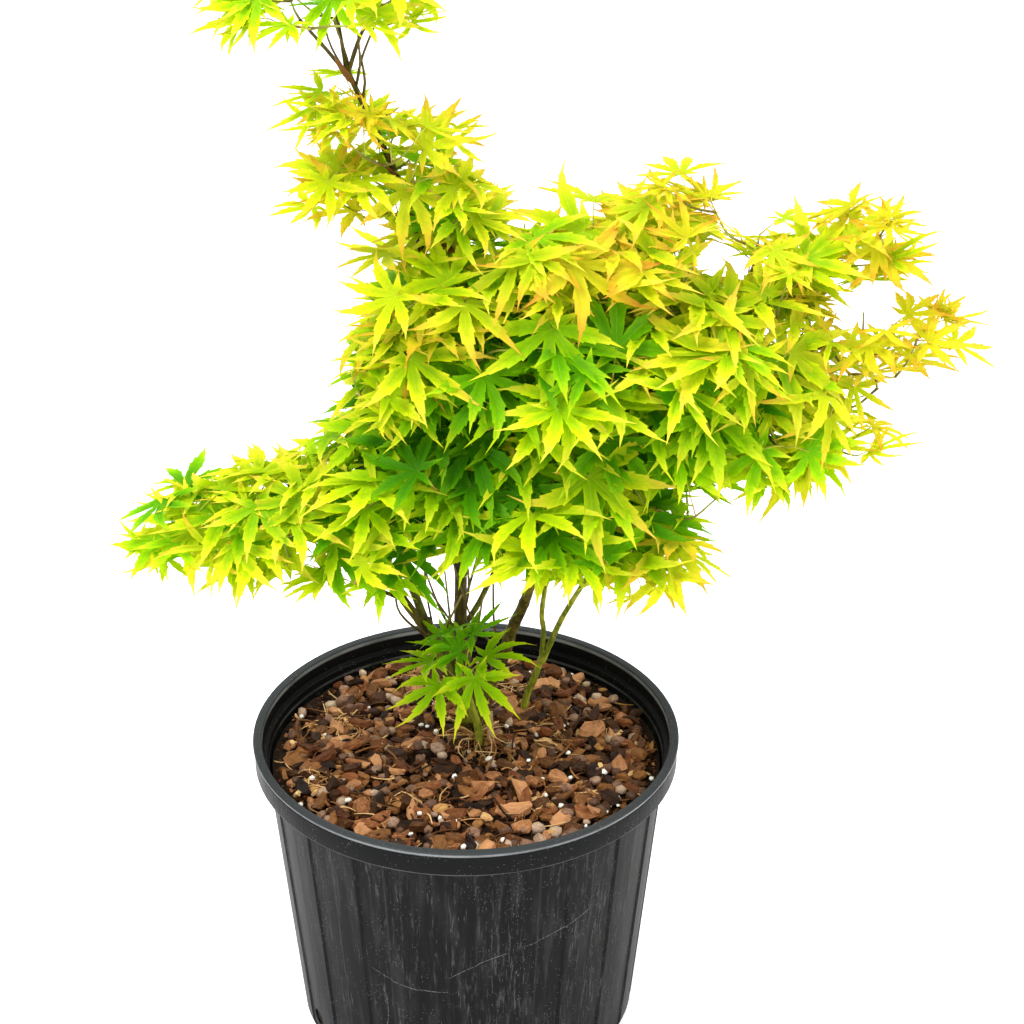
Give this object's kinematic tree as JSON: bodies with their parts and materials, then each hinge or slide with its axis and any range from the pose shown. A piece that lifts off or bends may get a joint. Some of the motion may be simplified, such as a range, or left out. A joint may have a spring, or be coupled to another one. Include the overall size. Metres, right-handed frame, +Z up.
{
  "type": "potted japanese maple",
  "caption": "Young multi-stemmed maple with bright lime leaves in layered sprays and a tall leader, in a black ribbed nursery pot.",
  "frame": {"origin": "centre of the pot's flat underside, on the ground", "axes": "+Z up; the front, which the long left and right boughs flank, faces -Y; +X to the right seen from the front"},
  "size_m": [0.54, 0.2957, 0.736],
  "materials": {
    "black_plastic": "satin",
    "potting_mix": "matte",
    "brown_bark": "matte",
    "olive_bark": "matte",
    "green_bark": "satin",
    "dry_stem": "matte",
    "lime_leaves": "satin",
    "gold_leaves": "satin",
    "green_leaves": "satin"
  },
  "bodies": {
    "root": {"pot": "black_plastic", "soil": "potting_mix", "trunk": "brown_bark", "leader": "brown_bark", "trunk_fork": "brown_bark", "left_stem": "olive_bark", "left_fork_outer": "brown_bark", "left_fork_inner": "olive_bark", "left_twig": "olive_bark", "right_stem": "brown_bark", "back_twig": "olive_bark", "green_shoot": "green_bark", "green_shoot_fork_left": "green_bark", "green_shoot_fork_right": "green_bark", "basal_stem": "green_bark", "stem_stub": "dry_stem", "top_fork_left": "brown_bark", "top_fork_middle": "brown_bark", "top_fork_right": "brown_bark", "bough_high_right": "brown_bark", "bough_right_tip": "brown_bark", "leaf_mass_top_left": "lime_leaves", "leaf_mass_top_right": "lime_leaves", "leaf_mass_leader_high_left": "gold_leaves", "leaf_mass_leader_high_right": "gold_leaves", "leaf_mass_leader_low_left": "lime_leaves", "leaf_mass_leader_low_right": "lime_leaves", "leaf_mass_crown_left_high": "lime_leaves", "leaf_mass_crown_left_middle": "gold_leaves", "leaf_mass_crown_centre_high": "lime_leaves", "leaf_mass_crown_right_high": "gold_leaves", "leaf_mass_crown_centre_middle": "lime_leaves", "leaf_mass_crown_right_middle": "lime_leaves", "leaf_mass_high_right_inner": "lime_leaves", "leaf_mass_high_right_tip": "gold_leaves", "leaf_mass_right_tip": "gold_leaves", "leaf_mass_low_right_tip": "lime_leaves", "leaf_mass_low_right_inner": "green_leaves", "leaf_mass_low_right": "lime_leaves", "leaf_mass_low_centre": "green_leaves", "leaf_mass_left_inner": "green_leaves", "leaf_mass_left_low": "lime_leaves", "leaf_mass_left_middle": "lime_leaves", "leaf_mass_left_tip": "lime_leaves", "leaf_mass_core": "green_leaves", "leaf_mass_back_left": "green_leaves", "leaf_mass_back_centre": "green_leaves", "leaf_mass_back_right": "green_leaves", "leaf_mass_basal": "green_leaves"}
  },
  "joints": []
}
